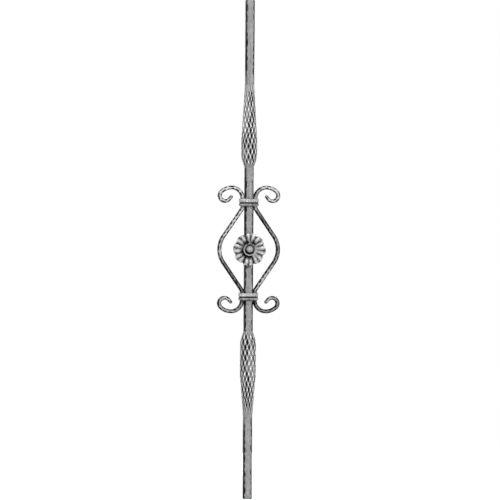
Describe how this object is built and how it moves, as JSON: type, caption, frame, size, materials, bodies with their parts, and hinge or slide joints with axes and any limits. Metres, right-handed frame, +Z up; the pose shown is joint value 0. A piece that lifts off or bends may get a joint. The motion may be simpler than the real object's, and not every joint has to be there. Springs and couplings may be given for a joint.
{
  "type": "stair baluster",
  "caption": "Forged iron stair baluster: a hammered square bar with netted swellings, lyre-shaped scrolls held by moulded collars, and a riveted rosette on the front.",
  "frame": {"origin": "centre of the bar's bottom end face", "axes": "+Z up along the bar, -Y towards the rosette's side, +X to the right as seen from that side"},
  "size_m": [0.1136, 0.0305, 0.9],
  "materials": {
    "forged_iron": "raw forged, matt grey with bright worn edges",
    "pressed_iron": "raw pressed sheet, matt grey"
  },
  "bodies": {
    "root": {"main_bar": "forged_iron", "left_scroll": "forged_iron", "right_scroll": "forged_iron", "upper_collar": "forged_iron", "lower_collar": "forged_iron", "rosette_petals": "pressed_iron", "rosette_cup": "pressed_iron", "rosette_rivet": "forged_iron"}
  },
  "joints": []
}
